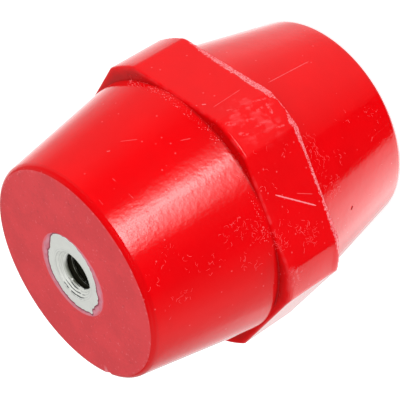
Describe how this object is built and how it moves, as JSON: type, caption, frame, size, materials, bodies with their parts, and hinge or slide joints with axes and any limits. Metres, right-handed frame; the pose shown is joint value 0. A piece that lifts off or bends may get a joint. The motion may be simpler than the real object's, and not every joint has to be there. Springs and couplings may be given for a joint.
{
  "type": "busbar insulator",
  "caption": "Double-cone busbar insulator with a hexagonal collar round its middle and a threaded metal insert in each end.",
  "frame": {"origin": "centre of the lower end face, on the plane that it stands on", "axes": "+Z along the insulator's axis, from the lower end face to the upper one; two of the collar's flats face +X and -X"},
  "size_m": [0.0384, 0.0414, 0.045],
  "materials": {
    "red_moulding": "moulded glass-filled polyester, glossy on the sides and satin on the end faces",
    "zinc_plated_steel": "turned steel with pale zinc plating"
  },
  "bodies": {
    "root": {"moulded_body": "red_moulding", "upper_insert": "zinc_plated_steel", "lower_insert": "zinc_plated_steel"}
  },
  "joints": []
}
